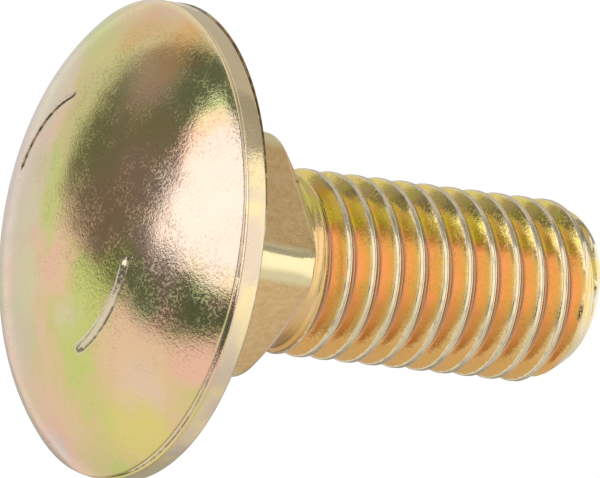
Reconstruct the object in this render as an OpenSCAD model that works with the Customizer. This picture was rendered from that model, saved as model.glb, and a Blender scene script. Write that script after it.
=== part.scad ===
// Carriage bolt: mushroom head, square neck, M12 x 1.75 coarse thread, cold forged in one piece.
// It stands on its threaded end. Origin at the centre of the end face, +Z along the axis to the head.

/* [Head] */
// Diameter of the mushroom head
head_d = 30; // [26:0.1:34]
// Height of the head, from its bearing face to the crown
head_h = 6.4; // [5.6:0.1:9]
// Height of the upright band round the edge of the head
rim_h = 1.45; // [0.9:0.05:2]
// Break of the rim's lower edge, where it meets the bearing face
rim_edge = 0.3; // [0.1:0.05:0.4]
// Step from the rim in to the foot of the dome
dome_edge = 0.35; // [0.1:0.05:0.4]
// Radius that turns the dome down towards its foot
dome_shoulder_r = 9.7; // [8.5:0.1:11]
// Slope of the dome at its foot
dome_foot_angle = 48; // [45:1:54]

/* [Neck] */
// Width across the flats of the square neck
neck_w = 11.6; // [11.4:0.1:15]
// Depth of the square neck below the bearing face
neck_h = 8.2; // [4:0.1:8.4]
// Radius of the neck's four upright corners
neck_corner_r = 1.3; // [0.5:0.05:2]
// Radius that turns each corner over into the shoulder
neck_end_r = 0.9; // [0.4:0.1:1.6]
// Slope of the shoulder below the neck, measured from the axis
shoulder_angle = 75; // [60:1:82]
// Leg of the fillet between the neck and the bearing face
neck_fillet = 0.5; // [0.2:0.05:1]

/* [Shank] */
// Length from the bearing face to the threaded end
bolt_l = 30.5; // [30.2:0.1:80]
// Diameter of the bare shank between the neck and the thread
blank_d = 11; // [10.6:0.05:11.2]
// Length of the chamfer on the threaded end
tip_l = 2.1; // [0.8:0.1:2.5]
// Diameter of the flat end face
tip_d = 9.6; // [8:0.1:9.7]

/* [Thread] */
// Diameter over the crests
thread_d = 11.65; // [11.5:0.05:12]
// Advance of the thread in one turn
pitch = 1.75; // [1.25:0.05:1.9]
// Width of the flat along the crest
crest_w = 0.4; // [0.2:0.01:0.45]
// Width of the flat along the root
root_w = 0.24; // [0.15:0.01:0.4]
// Length of thread from the end, run-out included
thread_l = 21.2; // [12:0.1:21.4]
// Turns over which the groove fades out below the neck
runout_turns = 0.5; // [0.3:0.05:1.5]
// Angle round the axis at which the groove comes in on the end face
thread_start = 243; // [0:1:359]

/* [Hidden] */

zinc_yellow = [0.85, 0.72, 0.42];
seat_z = bolt_l;                                   // height of the bearing face
in_metal = 0.15;                                   // how far joined solids reach into each other

head_r = head_d / 2;
dome_r = head_r - dome_edge;                       // foot of the dome

// The shoulder's arc ends at the foot at its own slope; the crown is the ball that runs into it
dome_arc = [dome_r, rim_h] - dome_shoulder_r * [sin(dome_foot_angle), cos(dome_foot_angle)];
crown_drop = dome_arc[1] - head_h;
crown_r = (dome_shoulder_r * dome_shoulder_r - dome_arc * dome_arc + dome_arc[1] * dome_arc[1]
           - crown_drop * crown_drop) / (2 * (crown_drop + dome_shoulder_r));
crown_angle = atan(dome_arc[0] / (crown_drop + crown_r));  // slope where ball and shoulder meet

blank_r = blank_d / 2;
neck_corner_out = (neck_w / 2 - neck_corner_r) * sqrt(2) + neck_corner_r;
neck_turn = [neck_corner_out - neck_end_r, seat_z - neck_h + neck_end_r];
shoulder_out = neck_turn + neck_end_r * [cos(shoulder_angle), -sin(shoulder_angle)];
shoulder_in = blank_r - in_metal;
shoulder_z = shoulder_out[1] - (shoulder_out[0] - shoulder_in) / tan(shoulder_angle);

// ISO metric flanks at 60 degrees, between the broad rolled crest and a narrow root
flank = 30;
thread_depth = (pitch - crest_w - root_w) / 2 / tan(flank);
root_r = thread_d / 2 - thread_depth;
over = 0.06 * pitch;                               // how far the cutter stands proud of the crests
turn_steps = 36;
groove_steps = round((thread_l / pitch + 1) * turn_steps);
fade_steps = runout_turns * turn_steps;

function arc(centre, r, from, to, n, skip = 0) =
    [for (i = [skip : n]) let (a = from + (to - from) * i / n) centre + r * [cos(a), sin(a)]];

// Section of the groove, as radius and height: the root flat, then both flanks opened past the crests
function groove_section(lift) =
    let (inner = root_r + lift, outer = thread_d / 2 + over + lift,
         half = root_w / 2, open = half + (outer - inner) * tan(flank))
    [[inner, -half], [outer, -open], [outer, open], [inner, half]];

// One step of the helix, which starts a turn below the end face; the section lifts out at the run-out
function groove_ring(i) =
    let (a = thread_start + 360 * i / turn_steps,
         z = pitch * (i / turn_steps - 1),
         fade = max(0, 1 - (groove_steps - i) / fade_steps))
    [for (p = groove_section((thread_depth + over) * fade)) [p[0] * cos(a), p[0] * sin(a), z + p[1]]];

module thread_groove() {
    rings = [for (i = [0 : groove_steps]) groove_ring(i)];
    last = 4 * groove_steps;
    side = [for (i = [0 : groove_steps - 1], j = [0 : 3])
        let (a = 4 * i + j, b = 4 * i + (j + 1) % 4)
        each [[a, b, b + 4], [a, b + 4, a + 4]]];
    polyhedron(
        points = [for (ring = rings) each ring],
        faces = concat([[3, 2, 1, 0]], side, [[last, last + 1, last + 2, last + 3]]),
        convexity = 12);
}

// Crest diameter from the chamfered end up to the run-out, then the bare shank up into the neck
module shank() {
    difference() {
        rotate_extrude($fn = 96) polygon([
            [0, 0], [tip_d / 2, 0], [thread_d / 2, tip_l], [thread_d / 2, thread_l],
            [blank_r, thread_l + (thread_d / 2 - blank_r)], [blank_r, seat_z], [0, seat_z]]);
        thread_groove();
    }
}

// Square with rounded corners, grown on every side
module neck_outline(grow = 0) {
    w = neck_w + 2 * grow;
    r = neck_corner_r + grow;
    c = w / 2 - r;
    square([w, 2 * c], center = true);
    square([2 * c, w], center = true);
    for (x = [-c, c], y = [-c, c]) translate([x, y]) circle(r, $fn = 32);
}

// The square runs down to a shoulder that rounds its corners over and slopes in to the shank
module neck() {
    intersection() {
        translate([0, 0, shoulder_z]) linear_extrude(seat_z - shoulder_z) neck_outline();
        rotate_extrude($fn = 96) polygon(concat(
            [[0, seat_z + 1], [neck_corner_out + 1, seat_z + 1], [neck_corner_out + 1, neck_turn[1]]],
            arc(neck_turn, neck_end_r, 0, -shoulder_angle, 5),
            [[shoulder_in, shoulder_z], [0, shoulder_z]]));
    }
    hull() {
        translate([0, 0, seat_z]) linear_extrude(in_metal) neck_outline(neck_fillet);
        translate([0, 0, seat_z - neck_fillet - in_metal]) linear_extrude(0.01) neck_outline(-in_metal);
    }
}

// Upright rim with broken edges, and a dome that is a ball's cap turned down round its shoulder
module head() {
    translate([0, 0, seat_z]) rotate_extrude($fn = 96) polygon(concat(
        [[0, 0], [head_r - rim_edge, 0], [head_r, rim_edge], [head_r, rim_h - dome_edge]],
        arc(dome_arc, dome_shoulder_r, 90 - dome_foot_angle, 90 - crown_angle, 9),
        arc([0, head_h - crown_r], crown_r, 90 - crown_angle, 90, 12, skip = 1)));
}

module bolt() {
    color(zinc_yellow) {
        shank();
        neck();
        head();
    }
}

bolt();
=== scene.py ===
import math

import bmesh
import bpy
from mathutils import Matrix, Vector


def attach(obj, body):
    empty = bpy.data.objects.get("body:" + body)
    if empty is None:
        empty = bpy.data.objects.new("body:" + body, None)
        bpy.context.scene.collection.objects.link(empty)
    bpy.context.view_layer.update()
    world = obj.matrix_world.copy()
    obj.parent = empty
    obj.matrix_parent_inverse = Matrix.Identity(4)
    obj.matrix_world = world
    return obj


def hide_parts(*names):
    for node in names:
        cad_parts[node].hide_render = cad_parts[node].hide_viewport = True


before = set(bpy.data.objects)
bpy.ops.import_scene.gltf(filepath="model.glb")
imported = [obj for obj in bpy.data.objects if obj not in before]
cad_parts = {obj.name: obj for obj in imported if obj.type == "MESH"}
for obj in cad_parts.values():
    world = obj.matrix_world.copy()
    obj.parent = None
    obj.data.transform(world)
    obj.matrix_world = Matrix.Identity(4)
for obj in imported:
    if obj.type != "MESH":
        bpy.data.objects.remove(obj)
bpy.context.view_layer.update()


# ---- Camera -------------------------------------------------------------------------------
# A long lens looks down on the standing bolt from above its head, and is rolled on its side so
# that the bolt lies across the picture with the head on the left.
MM = 0.001
view_azimuth, view_elevation, view_roll = 42.46, 30.55, -83.06
look_at = Vector((2.59, 4.33, 22.32)) * MM
view_distance = 429 * MM

turn = (Matrix.Rotation(math.radians(view_azimuth + 90), 4, "Z")
        @ Matrix.Rotation(math.radians(90 - view_elevation), 4, "X")
        @ Matrix.Rotation(math.radians(view_roll), 4, "Z"))
lens = bpy.data.cameras.new("long_lens")
lens.sensor_width = 36
lens.lens = 422.2
lens.clip_start, lens.clip_end = 0.01, 10
camera = bpy.data.objects.new("camera", lens)
bpy.context.scene.collection.objects.link(camera)
camera.matrix_world = Matrix.Translation(look_at) @ turn @ Matrix.Translation((0, 0, view_distance))
bpy.context.scene.camera = camera


# ---- Threaded shank -----------------------------------------------------------------------
# The shank of the steel blank is rolled between flat dies. The dies press the roots in and
# squeeze the metal up into crests, where the two sides meet in a fine double lip.
thread_d, blank_d = 11.65, 11.0
pitch, thread_start = 1.75, 243                    # millimetres, and degrees from +X
root_r, root_half, crest_half = 4.88, 0.12, 0.21
thread_end, runout = 21.4, 1.3
shank_top = 23.4                                   # the shank ends inside the neck
tip_l, tip_d, tip_round = 2.1, 9.4, 1.6
tip_shift, tip_azimuth = 0.08, 130                 # the end is pointed a little off centre
end_slope = 0.055                                  # and sheared a little out of square
turn_steps, spare_turns = 144, 2
same_point = 0.001                                 # points nearer than this are merged

# The thread's section. At the root: rise above it, and share of its half width. At the crest:
# rise above it, and distance in from its edge, on the side with the lip and on the plain side.
root_curve = ((0.0, 0.0), (0.006, 0.55), (0.04, 1.0))
flank_foot, flank_top = (0.04, 0.02), (-0.075, 0.0)
crest_curve = ((-0.05, 0.012), (-0.012, 0.045))
crest_lip = ((0.0, 0.075), (-0.004, 0.105), (-0.025, 0.14), (-0.004, 0.175))
crest_plain = ((0.0, 0.09), (0.004, 0.16))

crest_r, blank_r = thread_d / 2, blank_d / 2


def smooth(low, high, x):
    """Goes softly from 0 to 1 while x goes from low to high."""
    t = min(max((x - low) / (high - low), 0), 1)
    return t * t * (3 - 2 * t)


def line(start, end, n):
    """Points of a straight line, cut into n equal steps, with both ends."""
    return [tuple(a + (b - a) * i / n for a, b in zip(start, end)) for i in range(n + 1)]


def one_turn_of_thread():
    """Radius and height over one pitch, from the middle of a root to the middle of the next."""
    root_edge, crest_edge = root_half, pitch / 2 - crest_half
    side = [(root_r + rise, root_edge * share) for rise, share in root_curve]
    side += line((root_r + flank_foot[0], root_edge + flank_foot[1]),
                 (crest_r + flank_top[0], crest_edge + flank_top[1]), 5)[1:-1]
    lip_side = side + [(crest_r + rise, crest_edge + inwards)
                       for rise, inwards in crest_curve + crest_lip]
    plain_side = side + [(crest_r + rise, crest_edge + inwards)
                         for rise, inwards in crest_curve + crest_plain]
    return lip_side + [(r, pitch - z) for r, z in reversed(plain_side[1:])]


def compass(azimuth, length):
    """A level vector of some length, towards an azimuth in degrees from +X."""
    return Vector((math.cos(math.radians(azimuth)), math.sin(math.radians(azimuth)), 0)) * length


def link_mesh(name, bm):
    """Makes an object of the scene from a bmesh."""
    mesh = bpy.data.meshes.new(name)
    bm.to_mesh(mesh)
    bm.free()
    piece = bpy.data.objects.new(name, mesh)
    bpy.context.scene.collection.objects.link(piece)
    return piece


def spin_chain(bm, points, steps, lift=0.0):
    """Spins a chain of (radius, height) points once round +Z, rising by lift in the turn."""
    chain = [bm.verts.new((r, 0, z)) for r, z in points]
    edges = [bm.edges.new(pair) for pair in zip(chain, chain[1:])]
    bmesh.ops.spin(bm, geom=chain + edges, cent=(0, 0, 0), axis=(0, 0, 1), angle=math.tau,
                   dvec=(0, 0, lift / steps), steps=steps, use_merge=(lift == 0))
    bmesh.ops.remove_doubles(bm, verts=bm.verts, dist=same_point)


shank = bmesh.new()
turn_profile = one_turn_of_thread()
turns = math.ceil(shank_top / pitch) + spare_turns
thread_line = [(r, z + pitch * (i - spare_turns)) for i in range(turns) for r, z in turn_profile]
spin_chain(shank, thread_line, turn_steps, pitch)
bmesh.ops.rotate(shank, verts=shank.verts, cent=(0, 0, 0),
                 matrix=Matrix.Rotation(math.radians(thread_start), 3, "Z"))

# The thread runs out below the neck, and the other end is pointed over crests and roots alike
for v in shank.verts:
    r = math.hypot(v.co.x, v.co.y)
    rolled_r = r + (blank_r - r) * smooth(thread_end - runout, thread_end, v.co.z)
    aside = compass(tip_azimuth, 1).dot(v.co)
    above_end = max(v.co.z - end_slope * (tip_d / 2 - aside), 0)
    full = 1 - max(1 - above_end / tip_l, 0) ** tip_round
    point_r = math.inf
    if full < 1:
        point_r = tip_d / 2 + (crest_r - tip_d / 2) * full + tip_shift * aside / r
    v.co.xy *= min(rolled_r, point_r) / r
end_normal = Vector((0, 0, -1)) - compass(tip_azimuth, end_slope)
for on_plane, outwards in ((compass(tip_azimuth, tip_d / 2), end_normal.normalized()),
                           (Vector((0, 0, shank_top)), Vector((0, 0, 1)))):
    bmesh.ops.bisect_plane(shank, geom=shank.verts[:] + shank.edges[:] + shank.faces[:],
                           dist=1e-5, plane_co=on_plane, plane_no=outwards, clear_outer=True)
    rim = [e for e in shank.edges if e.is_boundary
           and all(abs((v.co - on_plane).dot(outwards)) < same_point for v in e.verts)]
    bmesh.ops.edgeloop_fill(shank, edges=rim)
bmesh.ops.recalc_face_normals(shank, faces=shank.faces)
threaded_shank = link_mesh("threaded_shank", shank)


# ---- Head and neck ------------------------------------------------------------------------
# The head and the square neck are upset from the same blank in one die, so every edge is soft.
# The die's square ends in a shoulder that rounds the corners over and slopes in to the shank.
# As on most forged bolts, the head sits a little out of round, off centre and out of square.
seat_z, head_h, head_d = 30.5, 6.35, 29.8          # a little small, with room for the oval
rim_h, rim_edge, rim_top_edge = 1.45, 0.3, 0.16
rim_bulge, rim_bulge_from, rim_bulge_to = 0.03, 0.55, 0.9
rim_top_drop = 0.02                                # the rim's top edge lies under the dome's foot
dome_foot_r, dome_foot_edge, dome_shoulder_r = 14.66, 0.25, 9.7
dome_foot_angle = math.radians(48)
groove_out, groove_drop = 0.04, 0.08               # fine groove between the rim and the dome
dome_shift, dome_shift_azimuth = 0.15, 77
head_shift, head_shift_azimuth = 0.2, 76
head_lean, head_lean_axis = 1.4, -103.5
oval, oval_azimuth = 0.28, 25
tri_oval, tri_oval_azimuth = 0.12, -11
neck_w, neck_h, neck_corner_r, neck_end_r = 11.6, 8.2, 1.3, 0.9
shoulder_angle = 75
neck_fillet, seat_gap = 0.5, 0.05                  # the flat seat starts a hair past the fillet
neck_shift, neck_shift_azimuth = 0.12, 136
neck_turn, neck_twist = 3.0, 3.0                   # degrees at the seat, and added at its end
corner_r_seat, corner_r_end = 1.7, 1.0
corner_blend = 0.3                                 # softness where the shoulder meets the corners
shoulder_fade = 0.6                                # the shank stays true, the neck is off centre
in_shank = 0.2                                     # how far the shoulder reaches into the shank
head_steps, dome_rings = 240, 48
hair = 1e-4                                        # allowance where places are compared

head_r = head_d / 2
seat_edge = head_r - rim_edge
corner_out = (neck_w / 2 - neck_corner_r) * math.sqrt(2) + neck_corner_r

# The dome is a ball over the crown, turned down to its foot by a shoulder of smaller radius
dome_end_r = dome_foot_r - dome_foot_edge * (1 - math.sin(dome_foot_angle))
dome_end_z = rim_h + dome_foot_edge * math.cos(dome_foot_angle)
turn_down_r = dome_end_r - dome_shoulder_r * math.sin(dome_foot_angle)
turn_down_z = dome_end_z - dome_shoulder_r * math.cos(dome_foot_angle)
crown_drop = turn_down_z - head_h
crown_r = ((dome_shoulder_r ** 2 - turn_down_r ** 2 - crown_drop ** 2)
           / (2 * (crown_drop + dome_shoulder_r)))
crown_edge_r = crown_r * turn_down_r / (crown_r - dome_shoulder_r)


def arc(cx, cz, r, start, end, n):
    """Points of a circular arc, from one angle to another in degrees, with both ends."""
    angles = [math.radians(start + (end - start) * i / n) for i in range(n + 1)]
    return [(cx + r * math.cos(a), cz + r * math.sin(a)) for a in angles]


def dome_height(r):
    """Height of the dome at a radius."""
    if r < crown_edge_r:
        return seat_z + head_h - crown_r + math.sqrt(crown_r ** 2 - r * r)
    return seat_z + turn_down_z + math.sqrt(dome_shoulder_r ** 2 - (r - turn_down_r) ** 2)


def neck_radius(angle, z, grow):
    """Radius of the neck's rounded square at an angle and height, grown on every side."""
    down = min(max((seat_z - z) / neck_h, 0), 1)
    angle += math.radians(neck_turn + neck_twist * down)
    a = abs((angle + math.pi / 4) % (math.pi / 2) - math.pi / 4)
    half, r = neck_w / 2 + grow, corner_r_seat + (corner_r_end - corner_r_seat) * down + grow
    c = half - r
    if math.tan(a) <= c / half:
        return half / math.cos(a)
    return c * (math.cos(a) + math.sin(a)) + math.sqrt(r * r - (c * (math.sin(a) - math.cos(a))) ** 2)


def rim_wide(angle):
    """How far the rim stands out of round at an angle."""
    return (oval * math.cos(2 * (angle - math.radians(oval_azimuth)))
            + tri_oval * math.cos(3 * (angle - math.radians(tri_oval_azimuth))))


def soft_min(a, b, k):
    """The smaller of two sizes, with the change from one to the other rounded over k."""
    h = min(max(0.5 + 0.5 * (b - a) / k, 0), 1)
    return b + (a - b) * h - k * h * (1 - h)


# The section of the blank, from the shoulder up round the head to the crown. The neck's wall and
# its fillet are spun as rings outside the corners, and pulled in to the square afterwards.
turn_r, turn_z = corner_out - neck_end_r, seat_z - neck_h + neck_end_r
slope_r = turn_r + neck_end_r * math.cos(math.radians(shoulder_angle))
slope_z = turn_z - neck_end_r * math.sin(math.radians(shoulder_angle))
inner_r = blank_r - in_shank
inner_z = slope_z - (slope_r - inner_r) / math.tan(math.radians(shoulder_angle))
wall_r = corner_out + 0.3
fillet_spread, fillet_rings = 0.6, 6
seat_start_r = corner_out + 1.5
neck_line = line((inner_r, inner_z), (slope_r, slope_z), 18)
neck_line += arc(turn_r, turn_z, neck_end_r, -shoulder_angle, 0, 12)[1:]
wall_line = line((wall_r, turn_z), (wall_r, seat_z - neck_fillet), 14)[1:]
fillet_line = [(wall_r + fillet_spread * i / fillet_rings,
                seat_z - neck_fillet * (1 - math.sin(math.pi / 2 * i / fillet_rings)))
               for i in range(1, fillet_rings + 1)]
seat_line = line((seat_start_r, seat_z), (seat_edge, seat_z), 8)
rim_line = arc(seat_edge, seat_z + rim_edge, rim_edge, -90, 0, 6)[1:]
rim_line += [(head_r + rim_bulge, seat_z + rim_bulge_from), (head_r + rim_bulge, seat_z + rim_bulge_to)]
rim_line += arc(head_r - rim_top_edge, seat_z + rim_h - rim_top_edge - rim_top_drop,
                rim_top_edge, 0, 80, 5)
groove_line = [(dome_foot_r + groove_out, seat_z + rim_h - groove_drop)]
dome_line = arc(dome_foot_r - dome_foot_edge, seat_z + rim_h, dome_foot_edge, 0, 42, 3)[:-1]
dome_line += [(r, dome_height(r)) for r in
              (dome_end_r * math.sin(math.pi / 2 * (1 - i / dome_rings)) for i in range(dome_rings + 1))]

blank = bmesh.new()
section = [(0, inner_z)] + neck_line + wall_line + fillet_line
section += seat_line + rim_line + groove_line + dome_line
spin_chain(blank, section, head_steps)
lean = Matrix.Rotation(math.radians(head_lean), 4, compass(head_lean_axis, 1))
lean = Matrix.Translation((0, 0, seat_z)) @ lean @ Matrix.Translation((0, 0, -seat_z))
head_aside = compass(head_shift_azimuth, head_shift)
dome_aside = compass(dome_shift_azimuth, dome_shift)
neck_aside = compass(neck_shift_azimuth, neck_shift)
for v in blank.verts:
    r, z = math.hypot(v.co.x, v.co.y), v.co.z
    angle = math.atan2(v.co.y, v.co.x)
    level_with_seat = abs(z - seat_z) < hair
    if r < hair:
        if z > seat_z:
            v.co = lean @ (v.co + head_aside + dome_aside)
        continue

    # Neck: the shoulder and the wall, the fillet, the fillet's last ring, then the flat seat
    if z < seat_z - neck_fillet + hair:
        v.co.xy *= soft_min(neck_radius(angle, z, 0), r, corner_blend) / r
        v.co += neck_aside * smooth(0, shoulder_fade, r - blank_r)
    elif z < seat_z - hair:
        grow = neck_fillet * (1 - math.cos(math.pi / 2 * (r - wall_r) / fillet_spread))
        v.co.xy *= neck_radius(angle, z, grow) / r
        v.co += neck_aside
    elif level_with_seat and r < seat_start_r - hair:
        v.co.xy *= neck_radius(angle, z, neck_fillet) / r
    elif level_with_seat and r < seat_edge + hair:
        share = (seat_edge - r) / (seat_edge - seat_start_r)
        start_r = neck_radius(angle, z, neck_fillet + seat_gap)
        v.co.xy *= (seat_edge + (start_r - seat_edge) * share) / r

    # Head: out of round at the rim, then moved aside and leant over, more towards its edge
    if z > seat_z + hair or level_with_seat and r > seat_start_r - hair:
        out = smooth(seat_start_r, seat_edge, r) if level_with_seat else 1
        if r > dome_foot_r + groove_out / 2:
            v.co.xy *= 1 + rim_wide(angle) * out / r
        else:
            v.co += dome_aside
        v.co += head_aside * out
        v.co = v.co.lerp(lean @ v.co, out)
bmesh.ops.recalc_face_normals(blank, faces=blank.faces)
head_and_neck = link_mesh("head_and_neck", blank)


# ---- Marks on the head --------------------------------------------------------------------
# Two plain raised arcs stand on the dome, one on each side of the crown. They are forged with
# the head, from two grooves sunk into the heading die.
# Degrees from and to, radius, width, height, and share of that size at the start
mark_arcs = ((146, 200, 8.55, 0.36, 0.12, 0.8), (-24, 34, 7.8, 0.60, 0.22, 0.6))
mark_fall = 0.5                                    # how steeply the dome falls away at the marks
mark_end_round = (-0.02, 0.06)                     # ends are rounded over this share of the arc
mark_steps, bead_sides = 60, 12

marks = []
for start, end, mark_r, mark_w, mark_h, taper in mark_arcs:
    bead = bmesh.new()
    ring = [(mark_r + mark_w / 2 * math.cos(t), mark_h * math.sin(t)) for t in
            (math.tau * i / bead_sides for i in range(bead_sides))]
    loop = [bead.verts.new((r, 0, dome_height(mark_r) + (mark_r - r) * mark_fall + h)) for r, h in ring]
    bead_end = bead.faces.new(loop)
    bmesh.ops.spin(bead, geom=[bead_end], cent=(0, 0, 0), axis=(0, 0, 1),
                   angle=math.radians(end - start), steps=mark_steps, use_merge=False)
    for v in bead.verts:
        share = math.degrees(math.atan2(v.co.y, v.co.x)) / (end - start)
        size = taper + (1 - taper) * share
        size *= smooth(*mark_end_round, share) * smooth(*mark_end_round, 1 - share)
        r = math.hypot(v.co.x, v.co.y)
        v.co.z = dome_height(mark_r) + (v.co.z - dome_height(mark_r)) * size
        v.co.xy *= (mark_r + (r - mark_r) * size) / r
    bmesh.ops.rotate(bead, verts=bead.verts, cent=(0, 0, 0),
                     matrix=Matrix.Rotation(math.radians(start), 3, "Z"))
    bmesh.ops.remove_doubles(bead, verts=bead.verts, dist=same_point)
    bmesh.ops.translate(bead, verts=bead.verts, vec=head_aside + dome_aside)
    bmesh.ops.transform(bead, verts=bead.verts, matrix=lean)
    bmesh.ops.recalc_face_normals(bead, faces=bead.faces)
    marks.append(link_mesh("head_mark", bead))


# ---- The bolt in one piece ----------------------------------------------------------------
# Head, marks, neck, shank and thread are one cold forging of steel with nothing joined on, so
# the shapes above are united into one closed skin.
for part in [threaded_shank] + marks:
    union = head_and_neck.modifiers.new("one_piece", "BOOLEAN")
    union.operation, union.solver, union.object = "UNION", "EXACT", part
bpy.context.view_layer.update()
united = head_and_neck.evaluated_get(bpy.context.evaluated_depsgraph_get())
whole = bpy.data.meshes.new_from_object(united)
for part in [head_and_neck, threaded_shank] + marks:
    bpy.data.objects.remove(part)

# Dirt lies in the groove round the dome; under the rim's edge and along the feet of the marks
# the same dark is painted shade. It goes from 0, clean, to 1, and a trace of it on the tops of the marks
# stands for rubbed film.
rim_shade, mark_top_rub = 0.65, 0.2
rim_shade_in, rim_shade_up = 0.4, 0.16               # how far the rim's painted shade reaches, in and up
beside_mark = 0.01                                 # and the painted shade at the marks' feet, beside each mark
mark_foot = 0.55                                   # share of a mark's height that counts as foot
below_head = seat_z - 1
dirt_and_shade_in = whole.attributes.new("dirt_and_painted_shade", "FLOAT", "POINT")
upright = lean.inverted()
for v in whole.vertices:
    if v.co.z < below_head:
        continue
    on_head = upright @ v.co - head_aside
    above_seat = on_head.z - seat_z
    r = math.hypot(on_head.x, on_head.y)
    groove_r = dome_foot_r + groove_out + rim_wide(math.atan2(on_head.y, on_head.x))
    dirt_and_shade = 0.0
    if abs(r - groove_r) < groove_out / 2 and 1 < above_seat < rim_h - groove_drop / 2:
        dirt_and_shade = 1.0
    # Under the rim's edge: painted shade
    elif r > seat_edge - rim_shade_in and above_seat < rim_shade_up:
        dirt_and_shade = rim_shade
    on_dome = on_head - dome_aside
    r = math.hypot(on_dome.x, on_dome.y)
    # Along the feet of the marks: painted shade; on their tops, rubbed film
    for start, end, mark_r, mark_w, mark_h, taper in mark_arcs:
        turned = (math.degrees(math.atan2(on_dome.y, on_dome.x)) - start) % 360
        size = taper + (1 - taper) * turned / (end - start)
        if turned < end - start and abs(r - mark_r) < mark_w / 2 * size + beside_mark:
            above_dome = on_dome.z - dome_height(mark_r) - (mark_r - r) * mark_fall
            dirt_and_shade = mark_top_rub if above_dome > mark_h * mark_foot else 1.0
    dirt_and_shade_in.data[v.index].value = dirt_and_shade
whole.transform(Matrix.Scale(MM, 4))
whole.shade_smooth()
whole.set_sharp_from_angle(angle=math.radians(35))
bolt = bpy.data.objects.new("carriage_bolt", whole)
bpy.context.scene.collection.objects.link(bolt)
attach(bolt, "root")
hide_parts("bolt")


# ---- Finish -------------------------------------------------------------------------------
# Bright zinc under a thin yellow passivate film. The film's thickness drifts over the surface,
# which turns it from yellow-green through tan and peach to pink and lilac.
yellow_zinc = bpy.data.materials.new("yellow_zinc")
yellow_zinc.use_nodes = True
zinc = yellow_zinc.node_tree


def place(tree, kind, plugs=None, **settings):
    """Adds a shader node, with values or links on its inputs."""
    node = tree.nodes.new("ShaderNode" + kind)
    for name, value in settings.items():
        setattr(node, name, value)
    for name, value in (plugs or {}).items():
        if isinstance(value, bpy.types.NodeSocket):
            tree.links.new(value, node.inputs[name])
        else:
            node.inputs[name].default_value = value
    return node


def calc(tree, operation, *values):
    """Works out a number from numbers or sockets."""
    return place(tree, "Math", dict(enumerate(values)), operation=operation).outputs[0]


def steer(tree, operation, *values):
    """Works out a vector, or its length or share, from vectors or sockets."""
    node = place(tree, "VectorMath", dict(enumerate(values)), operation=operation)
    return node.outputs["Value" if operation in ("LENGTH", "DISTANCE", "DOT_PRODUCT") else "Vector"]


def ease(tree, value, low, high, to_low=0.0, to_high=1.0):
    """Eases from to_low to to_high while a value goes from low to high."""
    plugs = {"Value": value, "From Min": low, "From Max": high, "To Min": to_low, "To Max": to_high}
    return place(tree, "MapRange", plugs, interpolation_type="SMOOTHSTEP").outputs["Result"]


def ease_across(tree, where, along, low, high, to_low=0.0, to_high=1.0):
    """Eases from to_low to to_high while a place goes from low to high along a direction."""
    return ease(tree, steer(tree, "DOT_PRODUCT", where, along), low, high, to_low, to_high)


def blend(tree, share, under, over, how="MIX"):
    """Lays a share of one colour over another."""
    node = place(tree, "Mix", {"Factor": share}, data_type="RGBA", blend_type=how)
    for name, colour in (("A", under), ("B", over)):
        socket = next(x for x in node.inputs if x.name == name and x.type == "RGBA")
        if isinstance(colour, bpy.types.NodeSocket):
            tree.links.new(colour, socket)
        else:
            socket.default_value = (*colour, 1)
    return next(x for x in node.outputs if x.type == "RGBA")


def cloud(tree, where, scale, detail=2.0, output="Fac"):
    """Soft noise, finer with a higher scale."""
    return place(tree, "TexNoise", {"Vector": where, "Scale": scale, "Detail": detail}).outputs[output]


def shades(tree, value, stops):
    """Turns a value into a colour, by stops of value and colour."""
    ramp = place(tree, "ValToRGB", {"Fac": value})
    band = ramp.color_ramp
    while len(band.elements) < len(stops):
        band.elements.new(1.0)
    for stop, (at, colour) in zip(band.elements, stops):
        stop.position, stop.color = at, (*colour, 1)
    return ramp.outputs["Color"]


in_mm = steer(zinc, "MULTIPLY", place(zinc, "TexCoord").outputs["Object"], (1 / MM, 1 / MM, 1 / MM))
height = place(zinc, "SeparateXYZ", {"Vector": in_mm}).outputs["Z"]
radius = steer(zinc, "LENGTH", steer(zinc, "MULTIPLY", in_mm, (1, 1, 0)))
swirl = cloud(zinc, in_mm, 0.3, 1.5, "Color")
swirl = steer(zinc, "MULTIPLY_ADD", swirl, (4, 4, 4), (-2, -2, -2))
swirled = steer(zinc, "ADD", in_mm, swirl)

lilac, yellow_green, yellow = (0.74, 0.66, 0.56), (0.66, 0.68, 0.22), (0.82, 0.70, 0.24)
orange, peach, pink = (0.80, 0.50, 0.20), (0.88, 0.62, 0.38), (0.93, 0.57, 0.40)
blush, brown, tan = (0.86, 0.68, 0.56), (0.82, 0.56, 0.32), (0.78, 0.63, 0.29)
olive, olive_gold, pale_green = (0.56, 0.58, 0.27), (0.66, 0.60, 0.24), (0.76, 0.74, 0.42)
dull_straw = (0.80, 0.70, 0.48)
film_stops = ((0.08, yellow_green), (0.3, tan), (0.52, peach), (0.74, pink), (1.0, lilac))
film = calc(zinc, "MULTIPLY", cloud(zinc, in_mm, 1.1, 3), 0.16)
film = calc(zinc, "ADD", cloud(zinc, swirled, 0.12, 1), film)
colour = shades(zinc, ease(zinc, film, 0.34, 0.82), film_stops)

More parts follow.
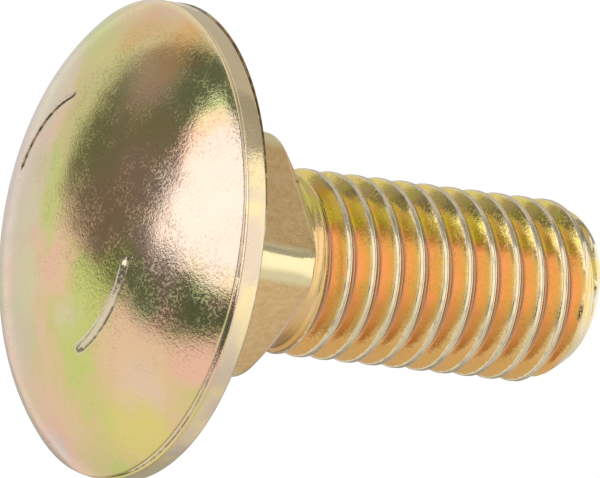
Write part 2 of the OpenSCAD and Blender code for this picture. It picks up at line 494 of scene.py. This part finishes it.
# Patches where the film settled thicker or thinner: centre and reach in mm, tone, strength
patches = (
    # round the left of the crown
    ((-6.5, -3.0, 36.0), 6.0, lilac, 0.5), ((0.5, -7.5, 35.8), 3.5, lilac, 0.4),
    ((-10.2, 2.8, 34.5), 4.2, dull_straw, 0.9), ((-5.6, 10.4, 34.2), 4.5, tan, 0.8),
    ((-6.8, 8.4, 34.6), 3.5, yellow_green, 0.6), ((-7.2, 10.8, 33.5), 2.6, orange, 0.6),
    ((-3.2, 13.5, 33.0), 3.6, orange, 0.9), ((-3.4, 6.2, 35.9), 4.6, olive_gold, 1.0),
    ((-1.2, 0.2, 36.8), 2.2, yellow_green, 0.9), ((-0.8, -4.8, 36.4), 2.8, pale_green, 0.7),
    ((-3.8, -1.6, 36.5), 2.2, pale_green, 0.6),
    # the crown and the side towards the shank's front
    ((2.6, 4.4, 36.4), 3.8, brown, 1.0), ((8.5, 10.2, 34.0), 6.0, blush, 1.0),
    ((0.5, 14.3, 32.8), 4.0, olive, 1.0), ((8.6, 4.2, 35.5), 2.2, olive, 0.9),
    ((11.6, 6.0, 33.8), 1.8, olive, 1.0), ((13.3, 6.4, 32.4), 1.6, olive, 0.9),
    # below the crown
    ((5.4, 0.6, 36.5), 2.0, yellow_green, 0.9), ((5.0, -2.0, 36.4), 1.8, blush, 0.5),
    ((6.8, -2.2, 36.0), 1.8, yellow_green, 0.7), ((2.6, -1.2, 36.8), 1.2, peach, 0.7),
    ((11.6, 0.6, 34.5), 4.0, peach, 0.9), ((14.0, 3.6, 32.8), 2.8, pink, 1.0),
    ((12.2, -0.8, 34.1), 2.2, blush, 0.4), ((13.0, -3.6, 33.4), 3.4, yellow, 0.9))
for centre, reach, tone, strength in patches:
    off = steer(zinc, "DISTANCE", swirled, centre)
    colour = blend(zinc, ease(zinc, off, reach * 0.3, reach * 1.1, strength, 0.0), colour, tone)

# Neck and seat: tan film, streaked along the bolt by the die, and worn bright on the corners
neck_stops = ((0.36, (0.76, 0.51, 0.22)), (0.5, (0.83, 0.57, 0.27)), (0.64, (0.90, 0.62, 0.33)))
worn_corner = (0.96, 0.86, 0.52)
neck_top, neck_foot = (31.2, 30.9), (22.0, 22.6)   # heights in mm where a tone fades out or in
seat_out, corner_in = (14.2, 13.8), (6.95, 7.4)    # and radii
streaks = cloud(zinc, steer(zinc, "MULTIPLY", in_mm, (3.5, 3.5, 0.7)), 1.0, 2)
streaks = calc(zinc, "ADD", calc(zinc, "MULTIPLY", streaks, 0.3),
               calc(zinc, "MULTIPLY", cloud(zinc, in_mm, 2.6, 4), 0.7))
neck_tone = shades(zinc, streaks, neck_stops)
neck_tone = blend(zinc, ease(zinc, radius, *corner_in, 0.0, 0.85), neck_tone, worn_corner)
neck_share = calc(zinc, "MULTIPLY", ease(zinc, height, *neck_top), ease(zinc, height, *neck_foot))
neck_share = calc(zinc, "MULTIPLY", neck_share, ease(zinc, radius, *seat_out))
colour = blend(zinc, neck_share, colour, neck_tone)

# Rim: straw with lilac-grey stretches, and rubbed on one side
rim_stops = ((0.40, (0.80, 0.65, 0.49)), (0.52, (0.92, 0.76, 0.44)))
rubbed_rim = (0.92, 0.76, 0.49)
rim_in, rim_top = (14.3, 14.6), (32.3, 31.9)
rub_side = compass(98, 1 / 15)                     # towards the side that is rubbed, in radii
rim_share = calc(zinc, "MULTIPLY", ease(zinc, radius, *rim_in), ease(zinc, height, *rim_top))
rim_tone = shades(zinc, cloud(zinc, swirled, 0.25, 2), rim_stops)
rub_marks = cloud(zinc, steer(zinc, "MULTIPLY", in_mm, (0.8, 0.8, 3)), 1.0, 3)
rubbed = calc(zinc, "MULTIPLY", ease_across(zinc, in_mm, rub_side, 0.80, 0.93),
              ease(zinc, rub_marks, 0.35, 0.55, 0.3, 1.0))
rim_tone = blend(zinc, calc(zinc, "MULTIPLY", rubbed, 0.75), rim_tone, rubbed_rim)
colour = blend(zinc, rim_share, colour, rim_tone)

# Thread: pink low down and gold up the sides, with painted brown shade on one side of the
# shank, a painted olive-gold reflection on another, and painted shade in the roots
thread_stops = ((0.0, (0.95, 0.57, 0.38)), (0.35, (0.92, 0.58, 0.30)), (0.75, (0.84, 0.60, 0.27)))
painted_shade_brown, painted_reflection_olive, root_shade_paint = (0.70, 0.38, 0.10), (0.88, 0.76, 0.16), (0.20, 0.14, 0.07)
thread_top, root_in = (22.4, 21.6), (4.96, 4.90)
brown_shade_side, olive_reflection_side = compass(-45, 1 / 5.4), compass(160, 1 / 5.4)
drift = calc(zinc, "MULTIPLY_ADD", cloud(zinc, in_mm, 0.7, 3), 1.1, -0.55)
climb = calc(zinc, "ADD", calc(zinc, "SUBTRACT", radius, 4.85), drift)
thread_tone = shades(zinc, climb, thread_stops)
# Painted shade: brown on one side of the shank
brown_shade_share = ease_across(zinc, in_mm, brown_shade_side, 0.55, 0.92, 0.0, 0.85)
thread_tone = blend(zinc, brown_shade_share, thread_tone, painted_shade_brown)
# Painted reflection: olive-gold on another side of the shank
olive_reflection_share = calc(zinc, "MULTIPLY", ease_across(zinc, in_mm, olive_reflection_side, -0.02, 0.12),
               ease(zinc, cloud(zinc, in_mm, 0.9, 3), 0.38, 0.58, 0.9, 0.35))
thread_tone = blend(zinc, olive_reflection_share, thread_tone, painted_reflection_olive)
# Painted shade in the thread's roots
thread_tone = blend(zinc, ease(zinc, radius, *root_in, 0.0, 0.6), thread_tone, root_shade_paint)
colour = blend(zinc, ease(zinc, height, *thread_top), colour, thread_tone)

# Crests and tip: worn paler than the thread's sides, with painted shade in the dip of the crests' lip
tip_stops = ((0.40, (0.84, 0.74, 0.56)), (0.56, (0.88, 0.74, 0.34)))
crest_stops = ((0.34, (0.66, 0.56, 0.46)), (0.42, (0.86, 0.73, 0.46)), (0.62, (0.90, 0.78, 0.56)))
lip_shade_paint = (0.24, 0.18, 0.10)
tip_top, crests_top = (1.9, 1.3), (21.9, 21.2)
crest_in, lip_in, lip_out = (5.78, 5.82), (5.785, 5.797), (5.814, 5.803)
tip_tone = shades(zinc, cloud(zinc, in_mm, 0.8, 2), tip_stops)
colour = blend(zinc, ease(zinc, height, *tip_top), colour, tip_tone)
scuffs = cloud(zinc, steer(zinc, "MULTIPLY", in_mm, (1.5, 1.5, 5)), 1.0, 3)
# Painted shade in the dip of the crests' lip
in_lip = calc(zinc, "MULTIPLY", ease(zinc, radius, *lip_in), ease(zinc, radius, *lip_out, 0.0, 0.65))
crest_tone = blend(zinc, in_lip, shades(zinc, scuffs, crest_stops), lip_shade_paint)
ragged = calc(zinc, "MULTIPLY_ADD", cloud(zinc, in_mm, 3.5, 2), 0.16, radius)
worn = calc(zinc, "MULTIPLY", ease(zinc, ragged, *crest_in), ease(zinc, height, *crests_top))
colour = blend(zinc, worn, colour, crest_tone)

# Dirt, painted shade and rubbed film where the attribute says, a dark nick at the thread's start,
# and a fine grain all over
rubbed_mark, dirt_and_painted_shade, nick_dark, grain_tone = (
    (0.80, 0.69, 0.54), (0.20, 0.16, 0.08), (0.16, 0.12, 0.06), (0.30, 0.24, 0.14))
nick_at, nick_shape = (-0.75, 5.9, 21.95), (3.2, 3.2, 1.3)
dirt_and_shade_mask = place(zinc, "Attribute", attribute_name="dirt_and_painted_shade").outputs["Fac"]
colour = blend(zinc, ease(zinc, dirt_and_shade_mask, 0.03, 0.15, 0.0, 0.75), colour, rubbed_mark)
# The attribute's dark: dirt in the groove, painted shade under the rim and at the marks' feet
dirt_and_shade_mask = calc(zinc, "MULTIPLY", ease(zinc, dirt_and_shade_mask, 0.3, 0.9, 0.0, 0.9),
             ease(zinc, cloud(zinc, in_mm, 1.6, 2), 0.35, 0.6, 0.35, 1.0))
colour = blend(zinc, dirt_and_shade_mask, colour, dirt_and_painted_shade)
# A dark nick at the thread's start
nick = steer(zinc, "MULTIPLY", steer(zinc, "SUBTRACT", in_mm, nick_at), nick_shape)
nick = ease(zinc, steer(zinc, "LENGTH", nick), 0.35, 0.7, 0.85, 0.0)
colour = blend(zinc, nick, colour, nick_dark)
grain = cloud(zinc, in_mm, 6.0, 2)
fine_grain = cloud(zinc, in_mm, 13.0, 1)
darker = ease(zinc, fine_grain, 0.3, 0.7, 0.0, 0.22)
colour = blend(zinc, darker, colour, grain_tone, "SOFT_LIGHT")

# Gloss and relief: pitted in clumps, with faint lines where the dies rolled the thread's start
relief_depth = 0.007 * MM
neck_gloss, thread_gloss, gloss_change = 0.08, 0.12, (22.4, 21.9)
lines_from, lines_to, line_waves = (20.4, 20.9), (22.6, 22.2), 14.0
skin = zinc.nodes["Principled BSDF"]
zinc.links.new(colour, skin.inputs["Base Color"])
skin.inputs["Metallic"].default_value = 1
clumps = ease(zinc, cloud(zinc, in_mm, 0.7, 2), 0.36, 0.62)
pitting = calc(zinc, "MULTIPLY", ease(zinc, grain, 0.42, 0.66),
               calc(zinc, "MULTIPLY_ADD", clumps, 0.18, 0.08))
gloss = ease(zinc, height, *gloss_change, neck_gloss, thread_gloss)
zinc.links.new(calc(zinc, "ADD", pitting, gloss), skin.inputs["Roughness"])
pits = calc(zinc, "MULTIPLY", grain, calc(zinc, "MULTIPLY_ADD", clumps, 0.9, 0.6))
relief = calc(zinc, "ADD", pits, calc(zinc, "MULTIPLY", fine_grain, 0.5))
die_lines = calc(zinc, "SINE", calc(zinc, "MULTIPLY", height, line_waves))
rolled = calc(zinc, "MULTIPLY", ease(zinc, height, *lines_from), ease(zinc, height, *lines_to))
die_lines = calc(zinc, "MULTIPLY", die_lines, calc(zinc, "MULTIPLY", rolled, 2.2))
relief = calc(zinc, "ADD", relief, die_lines)
bump = place(zinc, "Bump", {"Height": relief, "Distance": relief_depth, "Strength": 1.0})
zinc.links.new(bump.outputs["Normal"], skin.inputs["Normal"])
bolt.data.materials.clear()
bolt.data.materials.append(yellow_zinc)


# ---- Floor and light ----------------------------------------------------------------------
# White paper under the bolt, a big oblong softbox overhead, and a pale panel all round. The
# ceiling between them is dark, which draws the dark bands on the polished dome. What the metal
# mirrors of the paper is a glow with painted shade, dimmed on some sides and lighter far away.
paper_sheet = bmesh.new()
bmesh.ops.create_circle(paper_sheet, cap_ends=True, radius=1.5, segments=96)
floor = link_mesh("floor", paper_sheet)
white_paper = bpy.data.materials.new("white_paper")
white_paper.use_nodes = True
paper = white_paper.node_tree
matt = paper.nodes["Principled BSDF"]
matt.inputs["Roughness"].default_value = 1
matt.inputs["Specular IOR Level"].default_value = 0
matt.inputs["Emission Color"].default_value = (1, 1, 1, 1)

# How bright the metal mirrors the paper, with painted shade: by the side that a spot lies on, and its
# distance in m
on_paper = place(paper, "TexCoord").outputs["Object"]
facing = steer(paper, "NORMALIZE", on_paper)
distance = steer(paper, "LENGTH", on_paper)
near_side = ease_across(paper, facing, compass(58, 1), 0.35, 1.0, 0.56, 0.98)
low_side = ease_across(paper, facing, compass(-95, 1), 0.6, 1.0, 1.0, 0.45)
# Painted shade on the side towards 140 degrees, and a narrow painted dark notch near 98 degrees
painted_shade_side = calc(paper, "MULTIPLY", ease_across(paper, facing, compass(140, 1), 0.69, 0.73),
                 ease(paper, distance, 0.036, 0.043, 0.15, 0.38))
shade_notch = calc(paper, "MULTIPLY", ease_across(paper, facing, compass(178, 1), -0.03, 0.01),
            ease_across(paper, facing, compass(98, 1), 0.91, 0.97, 0.0, 0.72))
unshaded_share = calc(paper, "SUBTRACT", 1.0, calc(paper, "MAXIMUM", painted_shade_side, shade_notch))
mirrored_glow = calc(paper, "MULTIPLY", calc(paper, "MULTIPLY", near_side, low_side), unshaded_share)
far_away = calc(paper, "MULTIPLY", ease_across(paper, facing, compass(-145, 1), 0.5, 0.8),
                ease(paper, distance, 0.1, 0.25, 0.0, 0.74))
mirrored_glow = calc(paper, "MAXIMUM", mirrored_glow, far_away)

# The camera sees a white glow over grey, on which the bolt's shadow stays faint, and the metal
# mirrors the paper as bright as it is made above
seen_glow, seen_tone, lit_tone = 0.90, (0.22, 0.22, 0.22), (0.8, 0.8, 0.8)
path = place(paper, "LightPath")
glow = calc(paper, "ADD", calc(paper, "MULTIPLY", path.outputs["Is Camera Ray"], seen_glow),
            calc(paper, "MULTIPLY", path.outputs["Is Glossy Ray"], mirrored_glow))
paper.links.new(glow, matt.inputs["Emission Strength"])
paper_tone = blend(paper, path.outputs["Is Diffuse Ray"], seen_tone, lit_tone)
paper.links.new(paper_tone, matt.inputs["Base Color"])
floor.data.materials.append(white_paper)

softbox = bpy.data.lights.new("softbox", "AREA")
softbox.shape = "RECTANGLE"
softbox.size, softbox.size_y = 0.76, 0.59
softbox.energy = 1.68
softbox_lamp = bpy.data.objects.new("softbox", softbox)
bpy.context.scene.collection.objects.link(softbox_lamp)
softbox_lamp.location = (0.053, 0.308, 0.52)
softbox_lamp.rotation_euler.z = math.radians(26)

# The room: a pale panel up to the dark ceiling, which a window lightens a little on one side
panel_edge, window_way = (-0.356, 0.861, 0.364), (-0.857, 0.0, 0.515)
world = bpy.data.worlds.new("studio")
bpy.context.scene.world = world
world.use_nodes = True
studio = world.node_tree
direction = place(studio, "TexCoord").outputs["Generated"]
up = place(studio, "SeparateXYZ", {"Vector": direction}).outputs["Z"]
over_panel = ease_across(studio, direction, panel_edge, -0.045, 0.015)
ceiling = calc(studio, "MULTIPLY", over_panel, ease(studio, up, 0.40, 0.48))
window = ease_across(studio, direction, window_way, 0.955, 0.990, 1.0, 0.74)
ceiling = calc(studio, "MULTIPLY", ceiling, window)
ceiling_tone = ease_across(studio, direction, compass(-30, 1), -0.2, 0.2, 0.19, 0.145)
panel_tone = ease(studio, up, 0.0, 0.6, 0.75, 0.86)
panel = calc(studio, "MULTIPLY", panel_tone, calc(studio, "SUBTRACT", 1.0, ceiling))
room = calc(studio, "ADD", panel, calc(studio, "MULTIPLY", ceiling, ceiling_tone))
room = calc(studio, "MAXIMUM", room, place(studio, "LightPath").outputs["Is Camera Ray"])
studio.links.new(room, studio.nodes["Background"].inputs["Color"])

bpy.context.scene.view_settings.view_transform = "Standard"
